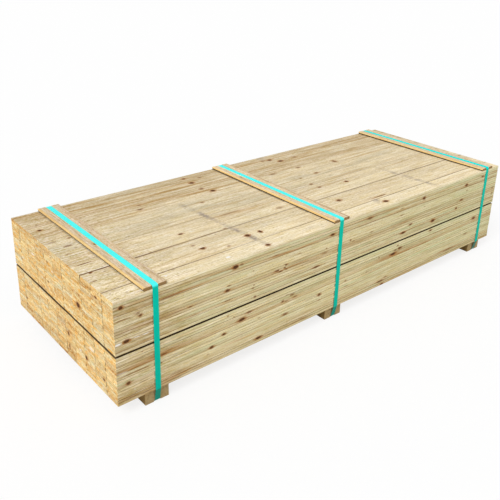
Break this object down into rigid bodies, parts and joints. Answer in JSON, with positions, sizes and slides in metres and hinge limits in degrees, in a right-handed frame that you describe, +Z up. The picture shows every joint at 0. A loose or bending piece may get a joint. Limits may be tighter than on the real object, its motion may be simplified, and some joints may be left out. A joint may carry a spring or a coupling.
{
  "type": "pack of fence palings",
  "caption": "Strapped pack of sawn pine fence palings stacked in layers, parted half way up by an open slot, with cross battens on top and bearers underneath.",
  "frame": {"origin": "on the floor under the middle of the pack", "axes": "+X along the palings, +Y across them, +Z up"},
  "size_m": [3, 1.1084, 0.6272],
  "materials": {
    "paling_timber": "rough sawn, preservative treated",
    "separator_timber": "rough sawn",
    "bearer_timber": "rough sawn",
    "batten_timber": "rough sawn",
    "strap_plastic": "satin, embossed"
  },
  "bodies": {
    "root": {"lower_layer_01": "paling_timber", "lower_layer_02": "paling_timber", "lower_layer_03": "paling_timber", "lower_layer_04": "paling_timber", "lower_layer_05": "paling_timber", "lower_layer_06": "paling_timber", "lower_layer_07": "paling_timber", "lower_layer_08": "paling_timber", "lower_layer_09": "paling_timber", "lower_layer_10": "paling_timber", "lower_layer_11": "paling_timber", "lower_layer_12": "paling_timber", "lower_layer_13": "paling_timber", "lower_layer_14": "paling_timber", "lower_layer_15": "paling_timber", "lower_layer_16": "paling_timber", "lower_layer_17": "paling_timber", "upper_layer_01": "paling_timber", "upper_layer_02": "paling_timber", "upper_layer_03": "paling_timber", "upper_layer_04": "paling_timber", "upper_layer_05": "paling_timber", "upper_layer_06": "paling_timber", "upper_layer_07": "paling_timber", "upper_layer_08": "paling_timber", "upper_layer_09": "paling_timber", "upper_layer_10": "paling_timber", "upper_layer_11": "paling_timber", "upper_layer_12": "paling_timber", "upper_layer_13": "paling_timber", "upper_layer_14": "paling_timber", "upper_layer_15": "paling_timber", "upper_layer_16": "paling_timber", "upper_layer_17": "paling_timber", "upper_layer_18": "paling_timber", "separator_1": "separator_timber", "separator_2": "separator_timber", "separator_3": "separator_timber", "bearer_1": "bearer_timber", "bearer_2": "bearer_timber", "bearer_3": "bearer_timber", "batten_1": "batten_timber", "batten_2": "batten_timber", "batten_3": "batten_timber", "strap_1": "strap_plastic", "strap_2": "strap_plastic", "strap_3": "strap_plastic"}
  },
  "joints": []
}
